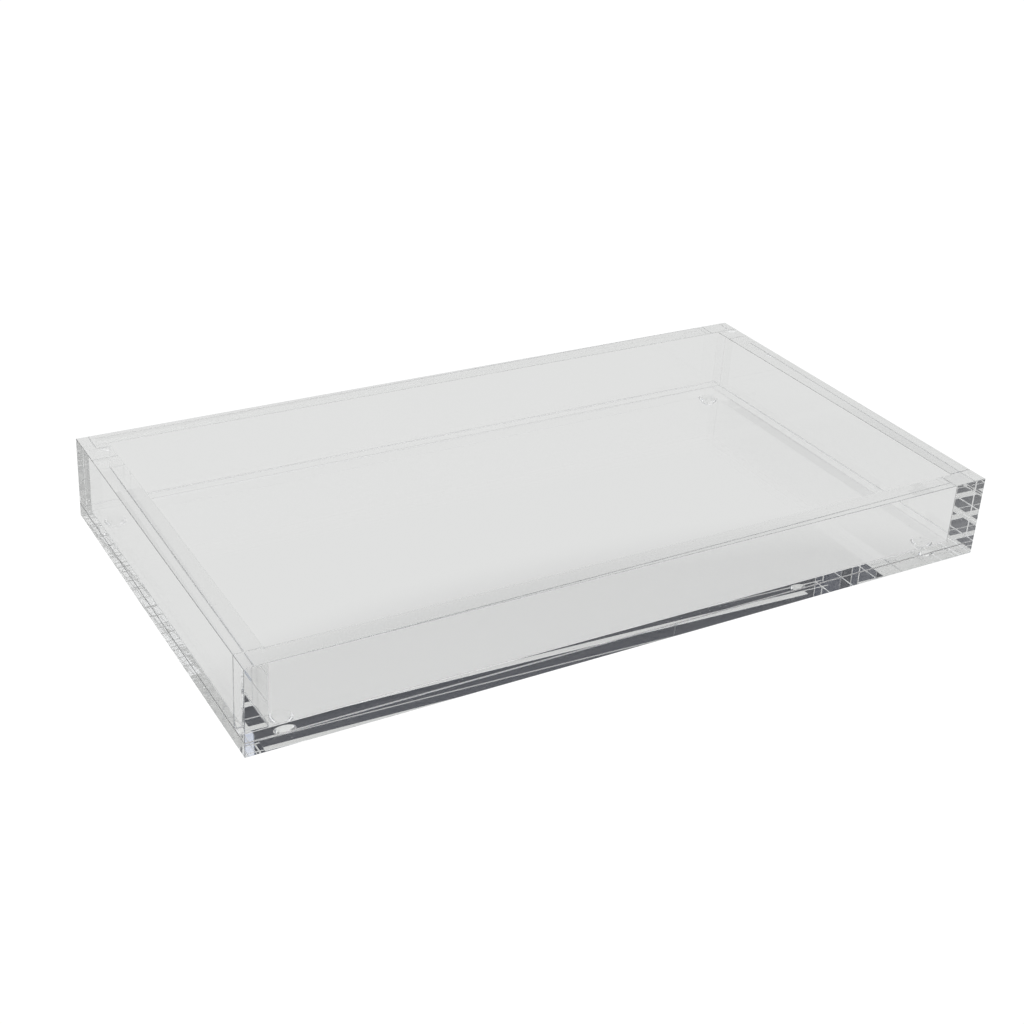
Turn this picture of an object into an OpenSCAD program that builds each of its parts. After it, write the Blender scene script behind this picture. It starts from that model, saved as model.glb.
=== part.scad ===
// Dresser vanity tray in clear acrylic sheet: a flat base plate, four walls
// cemented on top of it, and four clear bumper feet stuck underneath.
// The origin is the middle of the footprint, on the surface that the feet
// stand on. X runs along the long side, Y from front to back, +Z is up.

/* [Tray] */
// Outside length, along the front
tray_length = 360; // [300:5:460]
// Outside width, from front to back
tray_width = 200; // [150:5:320]
// Height of the acrylic body, from the underside of the base to the rim
body_height = 39; // [30:1:60]

/* [Acrylic sheet] */
// Thickness of the base plate
base_thickness = 6.4; // [5:0.2:10]
// Thickness of the long walls at the front and back
long_wall_thickness = 10; // [6:0.5:12]
// Thickness of the short walls at the two sides
side_wall_thickness = 12; // [8:0.5:15]
// Thickness of the cured cement between two plates
cement_thickness = 0.2; // [0.1:0.05:0.3]
// Width of the small chamfer polished on every free edge
edge_chamfer = 0.4; // [0.2:0.1:0.6]

/* [Bumper feet] */
// Diameter of each bumper where it meets its adhesive pad
foot_diameter = 10; // [8:0.5:14]
// Height of each bumper without its pad
foot_height = 2.4; // [1.6:0.2:4]
// Diameter of the flat that each domed bumper stands on
foot_flat_diameter = 5; // [3:0.5:7]
// Distance from the tray's end faces to the middle of a bumper
foot_inset_x = 20; // [12:1:40]
// Distance from the tray's front and back faces to the middle of a bumper
foot_inset_y = 18; // [12:1:40]
// Thickness of the clear adhesive pad above each bumper
pad_thickness = 0.2; // [0.1:0.05:0.4]
// How far the pad stops short of the bumper's edge
pad_setback = 0.4; // [0.2:0.1:1]

/* [Hidden] */
$fn = 96;

// Heights of the layers, from the standing surface up.
base_z = foot_height + pad_thickness;
cement_z = base_z + base_thickness;
wall_z = cement_z + cement_thickness;
rim_z = base_z + body_height;
wall_height = rim_z - wall_z;

// The long walls run the full length, and the side walls stand between them.
inner_width = tray_width - 2 * long_wall_thickness;
side_wall_length = inner_width - 2 * cement_thickness;
long_wall_y = (tray_width - long_wall_thickness) / 2;
side_wall_x = (tray_length - side_wall_thickness) / 2;
corner_joint_y = (inner_width - cement_thickness) / 2;

// The cement stops short of the free faces by the width of the chamfer, so
// that each joint shows as a fine line.
cement_setback = edge_chamfer;

// A bumper is a slice of a sphere: wide at the pad, flat at the bottom.
foot_x = tray_length / 2 - foot_inset_x;
foot_y = tray_width / 2 - foot_inset_y;
foot_top_r = foot_diameter / 2;
pad_r = foot_top_r - pad_setback;
foot_flat_r = foot_flat_diameter / 2;
dome_centre_z = (foot_height ^ 2 + foot_top_r ^ 2 - foot_flat_r ^ 2) / (2 * foot_height);
dome_r = norm([foot_flat_r, dome_centre_z]);

// Which corners of an outline are chamfered, in the order low left, low
// right, high right, high left.
NO_CORNERS = [false, false, false, false];
LOW_CORNERS = [true, true, false, false];
HIGH_CORNERS = [false, false, true, true];
ALL_CORNERS = [true, true, true, true];

ACRYLIC = [0.90, 0.94, 0.95, 0.45];
CEMENT = [0.97, 0.98, 0.99, 0.80];
BUMPER = [0.86, 0.88, 0.88, 0.70];
PAD = [0.93, 0.93, 0.90, 0.80];

// The two points that cut a corner off, or the corner itself.
// toward_x and toward_y are 1 or -1 and point into the outline.
function corner(x, y, toward_x, toward_y, cut, x_first) =
    !cut ? [[x, y]]
    : x_first ? [[x + toward_x * edge_chamfer, y], [x, y + toward_y * edge_chamfer]]
    : [[x, y + toward_y * edge_chamfer], [x + toward_x * edge_chamfer, y]];

// A centred rectangle with the named corners chamfered.
module chamfered_outline(width, height, corners) {
    x = width / 2;
    y = height / 2;
    polygon(concat(
        corner(-x, -y, 1, 1, corners[0], false),
        corner(x, -y, -1, 1, corners[1], true),
        corner(x, y, -1, -1, corners[2], false),
        corner(-x, y, 1, -1, corners[3], true)
    ));
}

// A plate centred in X and Y that stands on Z = 0. Its plan, its front
// outline and its side outline each have their own chamfered corners.
module polished_plate(size, plan, front_outline, side_outline) {
    intersection() {
        linear_extrude(size.z)
            chamfered_outline(size.x, size.y, plan);
        translate([0, size.y / 2, size.z / 2])
            rotate([90, 0, 0])
            linear_extrude(size.y)
            chamfered_outline(size.x, size.z, front_outline);
        translate([-size.x / 2, 0, size.z / 2])
            rotate([90, 0, 90])
            linear_extrude(size.x)
            chamfered_outline(size.y, size.z, side_outline);
    }
}

module base_plate() {
    color(ACRYLIC)
        translate([0, 0, base_z])
        polished_plate([tray_length, tray_width, base_thickness],
                       ALL_CORNERS, LOW_CORNERS, LOW_CORNERS);
}

// A full-length wall whose outer face looks along -Y.
module front_wall() {
    color(ACRYLIC)
        translate([0, -long_wall_y, wall_z])
        polished_plate([tray_length, long_wall_thickness, wall_height],
                       LOW_CORNERS, HIGH_CORNERS, HIGH_CORNERS);
}

module back_wall() {
    mirror([0, 1, 0]) front_wall();
}

// A short wall that stands between the long walls.
module left_wall() {
    color(ACRYLIC)
        translate([-side_wall_x, 0, wall_z])
        polished_plate([side_wall_thickness, side_wall_length, wall_height],
                       NO_CORNERS, HIGH_CORNERS, NO_CORNERS);
}

module right_wall() {
    mirror([1, 0, 0]) left_wall();
}

// The film between the base plate and a long wall.
module cement_under_front_wall() {
    film_length = tray_length - 2 * cement_setback;
    film_width = long_wall_thickness - 2 * cement_setback;
    color(CEMENT)
        translate([-film_length / 2, -long_wall_y - film_width / 2, cement_z])
        cube([film_length, film_width, cement_thickness]);
}

module cement_under_back_wall() {
    mirror([0, 1, 0]) cement_under_front_wall();
}

// The film between the base plate and a side wall.
module cement_under_left_wall() {
    film_width = side_wall_thickness - 2 * cement_setback;
    color(CEMENT)
        translate([-side_wall_x - film_width / 2, -side_wall_length / 2, cement_z])
        cube([film_width, side_wall_length, cement_thickness]);
}

module cement_under_right_wall() {
    mirror([1, 0, 0]) cement_under_left_wall();
}

// The upright film between the front wall and the left wall.
module cement_front_left_corner() {
    film_width = side_wall_thickness - 2 * cement_setback;
    film_height = wall_height - cement_setback;
    color(CEMENT)
        translate([-side_wall_x - film_width / 2,
                   -corner_joint_y - cement_thickness / 2,
                   wall_z])
        cube([film_width, cement_thickness, film_height]);
}

module cement_front_right_corner() {
    mirror([1, 0, 0]) cement_front_left_corner();
}

module cement_back_left_corner() {
    mirror([0, 1, 0]) cement_front_left_corner();
}

module cement_back_right_corner() {
    rotate(180) cement_front_left_corner();
}

// A domed bumper, standing on its flat at Z = 0.
module bumper(side_x, side_y) {
    color(BUMPER)
        translate([side_x * foot_x, side_y * foot_y, 0])
        intersection() {
            translate([0, 0, dome_centre_z]) sphere(r = dome_r);
            cylinder(r = foot_top_r, h = foot_height);
        }
}

module bumper_pad(side_x, side_y) {
    color(PAD)
        translate([side_x * foot_x, side_y * foot_y, foot_height])
        cylinder(r = pad_r, h = pad_thickness);
}

base_plate();
front_wall();
back_wall();
left_wall();
right_wall();
cement_under_front_wall();
cement_under_back_wall();
cement_under_left_wall();
cement_under_right_wall();
cement_front_left_corner();
cement_front_right_corner();
cement_back_left_corner();
cement_back_right_corner();
bumper(-1, -1);  // foot_front_left
bumper(1, -1);  // foot_front_right
bumper(-1, 1);  // foot_back_left
bumper(1, 1);  // foot_back_right
bumper_pad(-1, -1);  // foot_pad_front_left
bumper_pad(1, -1);  // foot_pad_front_right
bumper_pad(-1, 1);  // foot_pad_back_left
bumper_pad(1, 1);  // foot_pad_back_right
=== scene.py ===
"""A clear acrylic vanity tray: polished sheet plates cemented edge to face, on four clear bumpers."""
import math

import bpy
import numpy as np
from mathutils import Matrix, Vector


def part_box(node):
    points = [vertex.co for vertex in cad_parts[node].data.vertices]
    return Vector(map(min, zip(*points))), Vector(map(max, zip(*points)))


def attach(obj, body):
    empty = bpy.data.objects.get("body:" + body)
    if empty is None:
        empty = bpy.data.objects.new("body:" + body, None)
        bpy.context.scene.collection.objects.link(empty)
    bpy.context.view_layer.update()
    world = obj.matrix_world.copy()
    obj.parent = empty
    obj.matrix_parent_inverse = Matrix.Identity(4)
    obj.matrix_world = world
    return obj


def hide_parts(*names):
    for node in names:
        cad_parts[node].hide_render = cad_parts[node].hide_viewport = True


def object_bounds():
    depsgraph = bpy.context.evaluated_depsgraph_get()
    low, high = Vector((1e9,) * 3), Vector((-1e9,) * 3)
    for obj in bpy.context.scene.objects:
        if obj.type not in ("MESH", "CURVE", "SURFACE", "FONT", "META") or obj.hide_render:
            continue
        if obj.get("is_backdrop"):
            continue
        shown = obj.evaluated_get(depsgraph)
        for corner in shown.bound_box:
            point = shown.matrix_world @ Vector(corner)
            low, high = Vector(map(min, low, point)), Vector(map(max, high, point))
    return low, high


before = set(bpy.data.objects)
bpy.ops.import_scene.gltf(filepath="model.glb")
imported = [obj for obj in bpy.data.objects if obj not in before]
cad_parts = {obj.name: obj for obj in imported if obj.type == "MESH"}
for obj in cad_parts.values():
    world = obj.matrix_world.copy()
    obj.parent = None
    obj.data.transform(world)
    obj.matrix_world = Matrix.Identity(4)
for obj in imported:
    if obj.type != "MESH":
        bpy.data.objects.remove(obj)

cad_low, cad_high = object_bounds()

MM = 0.001
EDGE_RADIUS = 0.25 * MM          # polished rounding on every free edge
EDGE_STEPS = 4                  # facets from a face to the middle of its rounding
CELL = 20 * MM                  # widest cell of a plate's surface grid
TOUCH = 0.05 * MM               # closer than this, a film lies on a plate's face
SLACK = 0.02 * MM               # gap between a film or pad and the faces it joins
SPOT_LINES = 9                  # grid lines across a bumper's pad
SPOT_REACH = 1.5                # where the grid is square again, in pad radii
BUMPER_FLAT = 2.5 * MM          # radius of the flat that a domed bumper stands on
DOME_RINGS = 14
LOW_Z, HIGH_Z = 4, 5            # the lower and upper side of a plate, as axis * 2 + end

ACRYLIC_IOR = 1.49
CAST_TINT = (0.87, 0.872, 0.87, 1)      # colour of the sheet's absorption
CAST_DENSITY = 7.5                      # and its density, per metre
EDGE_RIPPLE = 0.5e-6                    # height of the ripple on a cut edge, in metres
MATT_TINT = (0.5, 0.5, 0.51, 1)         # what an unpolished arris lets through
MATT_ROUGHNESS = 0.3
MARK_ROUGHNESS = 0.3                    # of a scratch or a speck of dust

WHITE = (1.05, 1.05, 1.05, 1)           # floor and studio as the camera sees them directly
FLOOR_GREY = (0.755, 0.76, 0.755, 1)    # floor as every other ray sees it
FLOOR_REACH = 12.0                      # half the floor's width, in metres

# The studio's colours by the upward part of a direction. Behind the tray this is measured from the dim ring's
# lower edge, which lies at 0.5, and RING_EDGE is the height of that edge from the left of the studio (0) to
# the right (1).
PALE = (0.725, 0.73, 0.725)
RING_EDGE = ((0.0, 0.41), (0.35, 0.41), (0.62, 0.577), (0.80, 0.476), (1.0, 0.45))
SKY_BEHIND = (
    (0.00, PALE),
    (0.490, PALE),
    (0.508, (0.050, 0.053, 0.062)),
    (0.60, (0.045, 0.052, 0.080)),
    (0.655, (0.20, 0.28, 0.48)),
    (0.72, (1.4, 1.4, 1.4)),
)
SKY_NEAR = (
    (0.00, PALE),
    (0.40, (0.80, 0.80, 0.80)),
    (0.46, (1.15, 1.15, 1.15)),
    (0.60, (1.15, 1.16, 1.18)),
    (0.76, (1.4, 1.4, 1.4)),
)
RING_MIDDLE = math.radians(30)          # direction of the ring's middle, from +Y towards +X
RING_FULL = 0.25                        # the ring is whole above this cosine from its middle
RING_GONE = -0.45                       # and gone below this one

CAMERA_TURN = (-31.47, 25.98, 3.62)     # azimuth, elevation and roll, in degrees
CAMERA_BACK = 2.147                     # the camera's place along its own axes, in tray lengths
CAMERA_LEFT = 0.0233
CAMERA_UP = 0.1333
LENS = 58.84453125                      # focal length in mm on a 36 mm sensor
SHIFT_UP = -0.080
LIGHT_BOUNCES = 96                      # light runs the length of the base inside it


# ---------------------------------------------------------------- shapes

def axis_lines(low, high, marks):
    """Grid lines along one axis of a plate. Near each end they lie at EDGE_RADIUS * (1 - tan a) from the
    face, with the angle a going evenly from 45 degrees to 0, so that the rounding has even facets. Between
    the roundings they pass through every mark and are never more than CELL apart."""
    angles = np.linspace(math.pi / 4, 0.0, EDGE_STEPS + 1)
    inset = EDGE_RADIUS * (1.0 - np.tan(angles))
    start = low + inset
    end = high - inset[::-1]
    inner = np.asarray([m for m in marks if start[-1] + 1e-7 < m < end[0] - 1e-7], dtype=float)
    stops = np.unique(np.round(np.concatenate([[start[-1]], inner, [end[0]]]), 8))
    runs = []
    for a, b in zip(stops[:-1], stops[1:]):
        cells = max(1, math.ceil((b - a) / CELL))
        runs.append(np.linspace(a, b, cells + 1)[:-1])
    return np.concatenate([start[:-1], *runs, end])


def surface_grid(counts):
    """Number every point of a 3-D grid that lies on its outside, and list the quads of its six sides, wound
    outwards. Returns the point numbers, the quads and the side of each quad, as axis * 2 + end."""
    on_skin = np.ones(counts, dtype=bool)
    on_skin[1:-1, 1:-1, 1:-1] = False
    number = np.full(counts, -1, dtype=np.int64)
    number[on_skin] = np.arange(on_skin.sum())
    quads = []
    sides = []
    for axis in range(3):
        for end in (0, 1):
            layer = np.take(number, -end, axis=axis)
            ring = np.stack([layer[:-1, :-1], layer[1:, :-1], layer[1:, 1:], layer[:-1, 1:]], axis=-1)
            ring = ring.reshape(-1, 4)
            outward = (end == 1) != (axis == 1)
            quads.append(ring if outward else ring[:, ::-1])
            sides.append(np.full(len(ring), axis * 2 + end))
    return on_skin, np.concatenate(quads), np.concatenate(sides)


def make_mesh(name, points, quads, loop_normals, material_index, materials):
    """A mesh object from whole arrays, with its own normal at each corner of each face."""
    mesh = bpy.data.meshes.new(name)
    mesh.vertices.add(len(points))
    mesh.vertices.foreach_set("co", points.astype(np.float32).ravel())
    mesh.loops.add(quads.size)
    mesh.loops.foreach_set("vertex_index", quads.astype(np.int32).ravel())
    mesh.polygons.add(len(quads))
    mesh.polygons.foreach_set("loop_start", np.arange(0, quads.size, 4, dtype=np.int32))
    for material in materials:
        mesh.materials.append(material)
    mesh.polygons.foreach_set("material_index", material_index.astype(np.int32))
    mesh.update(calc_edges=True)
    mesh.shade_smooth()
    mesh.normals_split_custom_set(loop_normals.reshape(-1, 3).astype(np.float32))
    mesh.validate()
    piece = bpy.data.objects.new(name, mesh)
    bpy.context.scene.collection.objects.link(piece)
    return piece


def round_spot(points, centre, reach, rim):
    """Bend a square patch of a flat grid so that it holds a true circle. A point at square distance s from
    the centre moves to true distance s where s is under rim, and blends back to the square at reach."""
    offset = points[:, :2] - centre
    square = np.abs(offset).max(axis=1)
    true = np.linalg.norm(offset, axis=1)
    inside = (square < reach) & (true > 0)
    blend = np.clip((square - rim) / (reach - rim), 0.0, 1.0)
    scale = np.where(inside, square / np.where(true > 0, true, 1.0) * (1 - blend) + blend, 1.0)
    points[:, :2] = centre + offset * scale[:, None]


def joint_arris(centres, low, high, joint_side):
    """Picks the faces of a rounding that runs along the cemented side. Polishing stops short of those, so
    they stay matt."""
    to_low = centres - low < EDGE_RADIUS
    to_high = high - centres < EDGE_RADIUS
    rounded = (to_low | to_high).sum(axis=1) >= 2
    beside = np.stack([to_low, to_high], axis=-1).reshape(-1, 6)
    return rounded & beside[:, joint_side]


def mark_faces(piece, name, marked):
    """A face attribute that is 1 on the marked faces, for a material to read."""
    attribute = piece.data.attributes.new(name, "FLOAT", "FACE")
    attribute.data.foreach_set("value", marked.astype(np.float32))


def plate(name, node, joint_side, films, material, spots=(), spot_rim=0.0):
    """One sheet of acrylic: a box whose edges are rounded by EDGE_RADIUS. Each grid point in an edge's band
    moves to the inner box plus EDGE_RADIUS along the line to it, which is a quarter circle in section.
    Where a cement film or a bumper's pad covers a side, that side's faces are marked as cemented."""
    low, high = (np.array(corner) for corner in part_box(node))
    boxes = [np.array(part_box(film)) for film in films]
    spot_reach = spot_rim * SPOT_REACH
    lines = []
    for axis in range(3):
        marks = [edge for box in boxes for edge in box[:, axis]]
        if axis < 2:
            rings = np.linspace(-spot_rim, spot_rim, SPOT_LINES) if spots else []
            marks += [spot[axis] + r for spot in spots for r in rings]
            marks += [spot[axis] + s * spot_reach for spot in spots for s in (-1, 1)]
        lines.append(axis_lines(low[axis], high[axis], marks))
    on_skin, quads, sides = surface_grid([len(line) for line in lines])
    grid = np.stack(np.meshgrid(*lines, indexing="ij"), axis=-1)[on_skin]
    core = np.clip(grid, low + EDGE_RADIUS, high - EDGE_RADIUS)
    reach_out = grid - core
    length = np.linalg.norm(reach_out, axis=1, keepdims=True)
    direction = reach_out / np.where(length > 0, length, 1.0)
    points = core + direction * EDGE_RADIUS
    corner_normals = direction[quads]
    centres = grid[quads].mean(axis=1)
    under_film = np.zeros(len(quads), dtype=bool)
    for box in boxes:
        beside = np.all((centres > box[0] - TOUCH) & (centres < box[1] + TOUCH), axis=1)
        under_film |= beside & (sides // 2 == np.argmin(box[1] - box[0]))
    bottom = np.isclose(points[:, 2], low[2])
    for spot in spots:
        flat = points[bottom]
        round_spot(flat, np.array(spot), spot_reach, spot_rim)
        points[bottom] = flat
        square = np.abs(centres[:, :2] - spot).max(axis=1)
        under_film |= (square < spot_rim) & (sides == LOW_Z)
    piece = make_mesh(name, points, quads, corner_normals, np.zeros(len(quads)), [material])
    mark_faces(piece, "cemented", under_film)
    mark_faces(piece, "cut_edge", sides // 2 != np.argmin(high - low))
    mark_faces(piece, "joint_arris", joint_arris(centres, low, high, joint_side))
    return piece


def turned(name, profile, centre, materials, material_index, steps=64):
    """A profile of (radius, height) rows carried round an upright axis: each point lies at radius times the
    cosine and sine of its angle. The profile starts and ends on the axis, where a fan closes it."""
    radius, height = profile.T
    angle = np.linspace(0.0, 2 * math.pi, steps, endpoint=False)
    ring = np.stack([np.cos(angle), np.sin(angle)], axis=-1)
    body = radius[1:-1, None, None] * ring[None]
    rows = len(radius) - 2
    up = np.broadcast_to(height[1:-1, None, None], (rows, steps, 1))
    points = np.concatenate([body, up], axis=2).reshape(-1, 3)
    points = np.vstack([points, [[0, 0, height[0]], [0, 0, height[-1]]]])
    points[:, :2] += centre
    number = np.arange(rows * steps).reshape(rows, steps)
    after = np.roll(number, -1, axis=1)
    quads = np.stack([number[:-1], after[:-1], after[1:], number[1:]], axis=-1).reshape(-1, 4)
    low_cap = np.stack([after[0], number[0], np.full(steps, rows * steps)], axis=-1)
    high_cap = np.stack([number[-1], after[-1], np.full(steps, rows * steps + 1)], axis=-1)
    mesh = bpy.data.meshes.new(name)
    faces = [*low_cap.tolist(), *quads.tolist(), *high_cap.tolist()]
    mesh.from_pydata(points.tolist(), [], faces)
    for material in materials:
        mesh.materials.append(material)
    index = np.concatenate([
        np.full(steps, material_index[0]),
        np.repeat(material_index[1:-1], steps),
        np.full(steps, material_index[-1]),
    ])
    mesh.polygons.foreach_set("material_index", index.astype(np.int32))
    mesh.shade_smooth()
    mesh.set_sharp_from_angle(angle=math.radians(40))
    mesh.update()
    piece = bpy.data.objects.new(name, mesh)
    bpy.context.scene.collection.objects.link(piece)
    return piece


# ---------------------------------------------------------------- materials

def new_material(name):
    material = bpy.data.materials.new(name)
    material.use_nodes = True
    tree = material.node_tree
    shader = tree.nodes["Principled BSDF"]
    return material, tree, shader


def group_socket(group, name, direction, value=None):
    socket = group.interface.new_socket(name=name, in_out=direction, socket_type="NodeSocketFloat")
    if value is not None:
        socket.default_value = value


def maths(tree, operation, first, second):
    node = tree.nodes.new("ShaderNodeMath")
    node.operation = operation
    for socket, value in zip(node.inputs, (first, second)):
        if isinstance(value, bpy.types.NodeSocket):
            tree.links.new(value, socket)
        else:
            socket.default_value = value
    return node.outputs["Value"]


def fade(tree, value, low, high):
    """0 where value is under low, 1 over high, and smooth between."""
    node = tree.nodes.new("ShaderNodeMapRange")
    node.interpolation_type = "SMOOTHSTEP"
    node.inputs["From Min"].default_value = low
    node.inputs["From Max"].default_value = high
    tree.links.new(value, node.inputs["Value"])
    return node.outputs["Result"]


def noise(tree, place, scale, stretch=(1, 1, 1), detail=2.0):
    """Soft noise of scale waves a metre, squeezed by stretch along each axis."""
    mapping = tree.nodes.new("ShaderNodeMapping")
    mapping.inputs["Scale"].default_value = stretch
    tree.links.new(place, mapping.inputs["Vector"])
    node = tree.nodes.new("ShaderNodeTexNoise")
    node.inputs["Scale"].default_value = scale
    node.inputs["Detail"].default_value = detail
    tree.links.new(mapping.outputs["Vector"], node.inputs["Vector"])
    return node.outputs["Fac"]


def polish_group():
    """What polishing leaves on a sheet's cut edges: a long ripple where the buffing wheel dwelt, and a small
    quick one on it, as a height in metres."""
    group = bpy.data.node_groups.new("polish", "ShaderNodeTree")
    group_socket(group, "Cut edge", "INPUT", 0.0)
    group_socket(group, "Edge ripple", "INPUT", 1.0)
    group_socket(group, "Height", "OUTPUT")
    inputs = group.nodes.new("NodeGroupInput").outputs
    outputs = group.nodes.new("NodeGroupOutput").inputs
    place = group.nodes.new("ShaderNodeTexCoord").outputs["Object"]
    quick = noise(group, place, 260.0, (1, 1, 0.6), 1.0)
    long = noise(group, place, 70.0, detail=0.0)
    quick = maths(group, "MULTIPLY", quick, 0.1)
    ripple = maths(group, "ADD", quick, maths(group, "MULTIPLY", long, 0.9))
    ripple = maths(group, "MULTIPLY", ripple, inputs["Edge ripple"])
    group.links.new(maths(group, "MULTIPLY", ripple, inputs["Cut edge"]), outputs["Height"])
    return group


def wear_group():
    """Handling marks: a few hairline scratches and specks of dust, as a mask that is 1 on a mark."""
    group = bpy.data.node_groups.new("handling_marks", "ShaderNodeTree")
    group_socket(group, "Scratches", "INPUT", 1.0)
    group_socket(group, "Dust", "INPUT", 1.0)
    group_socket(group, "Marks", "OUTPUT")
    inputs = group.nodes.new("NodeGroupInput").outputs
    outputs = group.nodes.new("NodeGroupOutput").inputs
    place = group.nodes.new("ShaderNodeTexCoord").outputs["Object"]
    cells = group.nodes.new("ShaderNodeTexVoronoi")
    cells.inputs["Scale"].default_value = 55.0
    group.links.new(place, cells.inputs["Vector"])
    speck = fade(group, cells.outputs["Distance"], 0.020, 0.012)
    speck = maths(group, "MULTIPLY", speck, inputs["Dust"])
    streak = noise(group, place, 60.0, (1.0, 14.0, 1.0), 1.0)
    line = maths(group, "ABSOLUTE", maths(group, "SUBTRACT", streak, 0.5), 0.0)
    line = fade(group, line, 0.0016, 0.0006)
    patch = fade(group, noise(group, place, 38.0), 0.66, 0.72)
    scratch = maths(group, "MULTIPLY", maths(group, "MULTIPLY", line, patch), inputs["Scratches"])
    group.links.new(maths(group, "MAXIMUM", speck, scratch), outputs["Marks"])
    return group


def bubble_group():
    """Tiny bubbles and dry spots that a cement or adhesive layer traps, as a mask that is 1 on a bubble."""
    group = bpy.data.node_groups.new("trapped_bubbles", "ShaderNodeTree")
    group_socket(group, "Size", "INPUT", 0.12)
    group_socket(group, "Bubbles", "OUTPUT")
    inputs = group.nodes.new("NodeGroupInput").outputs
    outputs = group.nodes.new("NodeGroupOutput").inputs
    place = group.nodes.new("ShaderNodeTexCoord").outputs["Object"]
    cells = group.nodes.new("ShaderNodeTexVoronoi")
    cells.inputs["Scale"].default_value = 420.0
    group.links.new(place, cells.inputs["Vector"])
    near = maths(group, "SUBTRACT", inputs["Size"], cells.outputs["Distance"])
    dot = fade(group, near, 0.0, 0.03)
    patch = fade(group, noise(group, place, 30.0), 0.52, 0.60)
    group.links.new(maths(group, "MULTIPLY", dot, patch), outputs["Bubbles"])
    return group


POLISH = polish_group()
MARKS = wear_group()
BUBBLES = bubble_group()


def use_group(tree, group, **values):
    node = tree.nodes.new("ShaderNodeGroup")
    node.node_tree = group
    for name, value in values.items():
        socket = node.inputs[name.replace("_", " ")]
        if isinstance(value, bpy.types.NodeSocket):
            tree.links.new(value, socket)
        else:
            socket.default_value = value
    return node


def face_mark(tree, name):
    node = tree.nodes.new("ShaderNodeAttribute")
    node.attribute_name = name
    return node.outputs["Fac"]


def clear_acrylic():
    """Clear cast sheet. It is almost colourless across its thickness and grey along its length. Cement of the
    same index wets the cemented faces, so these have no alpha and light goes straight on through them."""
    material, tree, shader = new_material("clear cast acrylic")
    shader.inputs["IOR"].default_value = ACRYLIC_IOR
    shader.inputs["Transmission Weight"].default_value = 1.0
    arris = face_mark(tree, "joint_arris")
    polish = use_group(tree, POLISH, Cut_edge=face_mark(tree, "cut_edge"), Edge_ripple=EDGE_RIPPLE)
    bump = tree.nodes.new("ShaderNodeBump")
    bump.inputs["Distance"].default_value = 1.0
    tree.links.new(polish.outputs["Height"], bump.inputs["Height"])
    tree.links.new(bump.outputs["Normal"], shader.inputs["Normal"])
    marks = use_group(tree, MARKS, Scratches=1.0, Dust=1.0).outputs["Marks"]
    marked = maths(tree, "MULTIPLY", marks, MARK_ROUGHNESS)
    matt = maths(tree, "MULTIPLY", arris, MATT_ROUGHNESS)
    tree.links.new(maths(tree, "ADD", marked, matt), shader.inputs["Roughness"])
    tint = tree.nodes.new("ShaderNodeMix")
    tint.data_type = "RGBA"
    tint.inputs["A"].default_value = (1, 1, 1, 1)
    tint.inputs["B"].default_value = MATT_TINT
    tree.links.new(arris, tint.inputs["Factor"])
    tree.links.new(tint.outputs["Result"], shader.inputs["Base Color"])
    cemented = face_mark(tree, "cemented")
    tree.links.new(maths(tree, "SUBTRACT", 1.0, cemented), shader.inputs["Alpha"])
    volume = tree.nodes.new("ShaderNodeVolumeAbsorption")
    volume.inputs["Color"].default_value = CAST_TINT
    volume.inputs["Density"].default_value = CAST_DENSITY
    tree.links.new(volume.outputs["Volume"], tree.nodes["Material Output"].inputs["Volume"])
    return material


def cement_edge():
    """The thin edge of a cement film, where it meets the air: as clear as the sheet."""
    material, tree, shader = new_material("cement edge")
    shader.inputs["Base Color"].default_value = (1, 1, 1, 1)
    shader.inputs["IOR"].default_value = ACRYLIC_IOR
    shader.inputs["Transmission Weight"].default_value = 1.0
    place = tree.nodes.new("ShaderNodeTexCoord").outputs["Object"]
    tree.links.new(maths(tree, "MULTIPLY", noise(tree, place, 300.0), 0.15), shader.inputs["Roughness"])
    return material


def bonding_layer(name, size, haze):
    """A layer that bonds: clear where it wets both sides, white on the bubbles it trapped."""
    material, tree, shader = new_material(name)
    shader.inputs["Base Color"].default_value = (0.86, 0.87, 0.88, 1)
    shader.inputs["Roughness"].default_value = 0.4
    shader.inputs["IOR"].default_value = 1.02
    bubbles = use_group(tree, BUBBLES, Size=size)
    alpha = maths(tree, "ADD", maths(tree, "MULTIPLY", bubbles.outputs["Bubbles"], 0.6), haze)
    tree.links.new(alpha, shader.inputs["Alpha"])
    return material


def clear_bumper():
    """Clear soft polyurethane with a faintly uneven skin."""
    material, tree, shader = new_material("clear soft bumper")
    shader.inputs["Base Color"].default_value = (0.95, 0.955, 0.95, 1)
    shader.inputs["IOR"].default_value = 1.45
    shader.inputs["Transmission Weight"].default_value = 1.0
    place = tree.nodes.new("ShaderNodeTexCoord").outputs["Object"]
    skin = noise(tree, place, 900.0)
    bump = tree.nodes.new("ShaderNodeBump")
    bump.inputs["Distance"].default_value = 20e-6
    tree.links.new(skin, bump.inputs["Height"])
    tree.links.new(bump.outputs["Normal"], shader.inputs["Normal"])
    tree.links.new(maths(tree, "MULTIPLY", skin, 0.2), shader.inputs["Roughness"])
    return material


ACRYLIC = clear_acrylic()
CEMENT_EDGE = cement_edge()
CEMENT = bonding_layer("cured cement", 0.10, 0.0)
PAD = bonding_layer("pad adhesive", 0.16, 0.03)
BUMPER = clear_bumper()

# ---------------------------------------------------------------- the tray

SIDES = ("front", "back", "left", "right")
CORNERS = ("front_left", "front_right", "back_left", "back_right")
BASE_FILMS = [f"cement_under_{side}_wall" for side in SIDES]


def corner_films(side):
    return [f"cement_{corner}_corner" for corner in CORNERS if side in corner.split("_")]


def stands_for(piece, node):
    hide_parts(node)
    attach(piece, "root")


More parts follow.
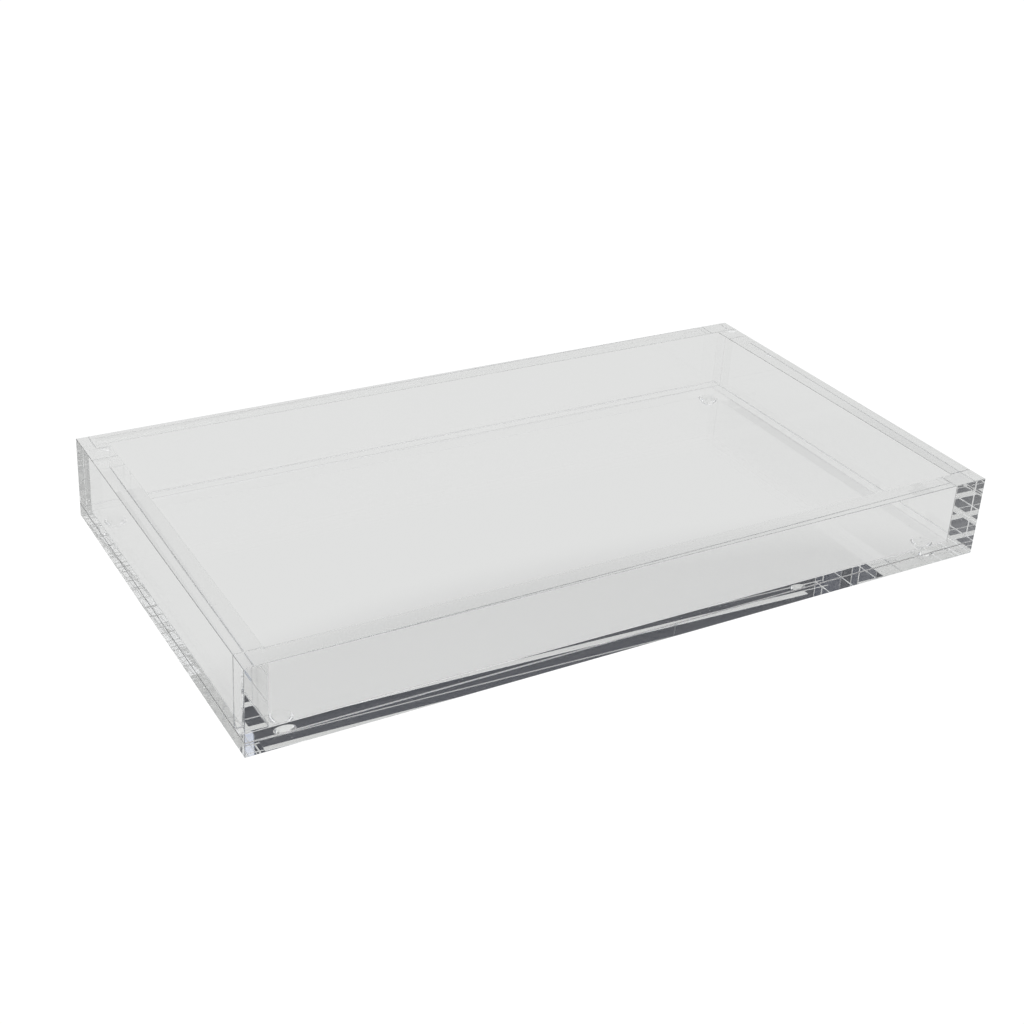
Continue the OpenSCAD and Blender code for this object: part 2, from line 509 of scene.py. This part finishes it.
def cement_line(film):
    """A cement film: a closed box that fills its joint but for SLACK at the two faces it joins. Its faces
    towards the plates are cement, and its four thin edges are clear."""
    low, high = (np.array(corner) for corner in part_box(film))
    thin = np.argmin(high - low)
    low[thin] += SLACK
    high[thin] -= SLACK
    on_skin, quads, sides = surface_grid([3, 3, 3])
    lines = [np.linspace(a, b, 3) for a, b in zip(low, high)]
    points = np.stack(np.meshgrid(*lines, indexing="ij"), axis=-1)[on_skin]
    outward = np.zeros((6, 3))
    outward[np.arange(6), np.arange(6) // 2] = np.tile([-1.0, 1.0], 3)
    normals = np.repeat(outward[sides][:, None], 4, axis=1)
    return make_mesh(f"{film}_line", points, quads, normals, sides // 2 != thin, [CEMENT, CEMENT_EDGE])


def bumper(corner, centre):
    """A domed bumper: its side is part of a sphere through the rim of its flat foot and the rim of its top,
    and its flat top carries the pad."""
    low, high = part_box(f"foot_{corner}")
    top_radius = (high.x - low.x) / 2
    height = high.z - low.z
    centre_height = (height ** 2 + top_radius ** 2 - BUMPER_FLAT ** 2) / (2 * height)
    sphere = math.hypot(BUMPER_FLAT, centre_height)
    start = math.asin(BUMPER_FLAT / sphere)
    end = math.atan2(top_radius, centre_height - height)
    angle = np.linspace(start, end, DOME_RINGS)
    dome = np.stack([sphere * np.sin(angle), low.z + centre_height - sphere * np.cos(angle)], axis=-1)
    profile = np.vstack([[0, low.z], dome, [PAD_RADIUS, high.z], [0, high.z]])
    slots = [0] * (DOME_RINGS + 1) + [1]
    return turned(f"bumper_{corner}", profile, centre, [BUMPER, PAD], slots)


def bumper_pad(corner, centre):
    """The pad between a bumper and the base: a flat round, SLACK short of both."""
    low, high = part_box(f"foot_pad_{corner}")
    under = low.z + SLACK
    over = high.z - SLACK
    profile = np.array([[0, under], [PAD_RADIUS, under], [PAD_RADIUS, over], [0, over]])
    return turned(f"bumper_pad_{corner}", profile, centre, [PAD], [0, 0, 0])


pad_low, pad_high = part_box("foot_pad_front_left")
PAD_RADIUS = (pad_high.x - pad_low.x) / 2
foot_centres = []
for corner in CORNERS:
    low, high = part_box(f"foot_{corner}")
    foot_centres.append(((low.x + high.x) / 2, (low.y + high.y) / 2))

base = plate("base_sheet", "base_plate", HIGH_Z, BASE_FILMS, ACRYLIC, foot_centres, PAD_RADIUS)
stands_for(base, "base_plate")
for side in SIDES:
    films = [f"cement_under_{side}_wall", *corner_films(side)]
    wall = plate(f"{side}_wall_sheet", f"{side}_wall", LOW_Z, films, ACRYLIC)
    stands_for(wall, f"{side}_wall")
for film in BASE_FILMS + [f"cement_{corner}_corner" for corner in CORNERS]:
    stands_for(cement_line(film), film)
for corner, centre in zip(CORNERS, foot_centres):
    stands_for(bumper(corner, centre), f"foot_{corner}")
    stands_for(bumper_pad(corner, centre), f"foot_pad_{corner}")

# ---------------------------------------------------------------- floor, light and camera

def seen_by_camera(tree, behind):
    """WHITE where the camera looks straight at the studio, and behind for every ray that has met the tray,
    so that the clear sheet stands out from a pure white ground."""
    path = tree.nodes.new("ShaderNodeLightPath")
    mix = tree.nodes.new("ShaderNodeMix")
    mix.data_type = "RGBA"
    tree.links.new(path.outputs["Is Camera Ray"], mix.inputs["Factor"])
    if isinstance(behind, bpy.types.NodeSocket):
        tree.links.new(behind, mix.inputs["A"])
    else:
        mix.inputs["A"].default_value = behind
    mix.inputs["B"].default_value = WHITE
    return mix.outputs["Result"]


def pale_floor():
    """A flat floor of one even brightness, at the height that the tray stands on."""
    mesh = bpy.data.meshes.new("floor")
    corners = [(x * FLOOR_REACH, y * FLOOR_REACH, 0) for x, y in ((-1, -1), (1, -1), (1, 1), (-1, 1))]
    mesh.from_pydata(corners, [], [(0, 1, 2, 3)])
    material, tree, shader = new_material("pale floor")
    tree.nodes.remove(shader)
    light = tree.nodes.new("ShaderNodeEmission")
    tree.links.new(seen_by_camera(tree, FLOOR_GREY), light.inputs["Color"])
    tree.links.new(light.outputs["Emission"], tree.nodes["Material Output"].inputs["Surface"])
    mesh.materials.append(material)
    floor = bpy.data.objects.new("floor", mesh)
    bpy.context.scene.collection.objects.link(floor)
    floor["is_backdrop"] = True


def sky_ramp(tree, height, stops):
    """A smooth run of colours, each reached at its own height."""
    ramp = tree.nodes.new("ShaderNodeValToRGB")
    tree.links.new(height, ramp.inputs["Fac"])
    elements = ramp.color_ramp.elements
    while len(elements) < len(stops):
        elements.new(0.5)
    for element, (at, colour) in zip(elements, stops):
        element.position = at
        element.color = (*colour, 1)
    return ramp.outputs["Color"]


def studio_world():
    """A soft light overhead, a dim ring behind the tray below it, and a pale sweep down to the horizon."""
    world = bpy.data.worlds.new("studio")
    bpy.context.scene.world = world
    world.use_nodes = True
    tree = world.node_tree
    background = tree.nodes["Background"]
    place = tree.nodes.new("ShaderNodeTexCoord")
    split = tree.nodes.new("ShaderNodeSeparateXYZ")
    tree.links.new(place.outputs["Generated"], split.inputs["Vector"])
    across = maths(tree, "ADD", maths(tree, "MULTIPLY", split.outputs["X"], 0.5), 0.5)
    ring_edge = sky_ramp(tree, across, [(at, (edge, edge, edge)) for at, edge in RING_EDGE])
    from_edge = maths(tree, "ADD", maths(tree, "SUBTRACT", split.outputs["Z"], ring_edge), 0.5)
    dim = sky_ramp(tree, from_edge, SKY_BEHIND)
    bright = sky_ramp(tree, split.outputs["Z"], SKY_NEAR)
    facing = tree.nodes.new("ShaderNodeVectorMath")
    facing.operation = "DOT_PRODUCT"
    facing.inputs[1].default_value = (math.sin(RING_MIDDLE), math.cos(RING_MIDDLE), 0)
    tree.links.new(place.outputs["Generated"], facing.inputs[0])
    share = tree.nodes.new("ShaderNodeMapRange")
    share.inputs["From Min"].default_value = RING_FULL
    share.inputs["From Max"].default_value = RING_GONE
    tree.links.new(facing.outputs["Value"], share.inputs["Value"])
    mix = tree.nodes.new("ShaderNodeMix")
    mix.data_type = "RGBA"
    tree.links.new(share.outputs["Result"], mix.inputs["Factor"])
    tree.links.new(dim, mix.inputs["A"])
    tree.links.new(bright, mix.inputs["B"])
    tree.links.new(seen_by_camera(tree, mix.outputs["Result"]), background.inputs["Color"])
    background.inputs["Strength"].default_value = 1.0


def camera():
    """Stands to the front left, above the rim, and looks across the tray."""
    azimuth, elevation, roll = (math.radians(angle) for angle in CAMERA_TURN)
    length = cad_high.x - cad_low.x
    back = Vector((math.sin(azimuth) * math.cos(elevation), -math.cos(azimuth) * math.cos(elevation),
                   math.sin(elevation)))
    right = Vector((math.cos(azimuth), math.sin(azimuth), 0))
    up = back.cross(right)
    turned_right = right * math.cos(roll) + up * math.sin(roll)
    turned_up = up * math.cos(roll) - right * math.sin(roll)
    foot_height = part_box("base_plate")[0].z
    place = (back * CAMERA_BACK - turned_right * CAMERA_LEFT + turned_up * CAMERA_UP) * length
    place += Vector((0, 0, foot_height))
    data = bpy.data.cameras.new("camera")
    data.sensor_width = 36.0
    data.lens = LENS
    data.shift_y = SHIFT_UP
    data.clip_start = 0.05
    data.clip_end = 60
    camera_object = bpy.data.objects.new("camera", data)
    turn = Matrix((turned_right, turned_up, back)).transposed().to_4x4()
    camera_object.matrix_world = Matrix.Translation(place) @ turn
    bpy.context.scene.collection.objects.link(camera_object)
    bpy.context.scene.camera = camera_object


pale_floor()
studio_world()
camera()

scene = bpy.context.scene
scene.view_settings.view_transform = "Standard"
scene.cycles.max_bounces = LIGHT_BOUNCES
scene.cycles.glossy_bounces = LIGHT_BOUNCES
scene.cycles.transmission_bounces = LIGHT_BOUNCES
scene.cycles.transparent_max_bounces = 64

low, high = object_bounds()
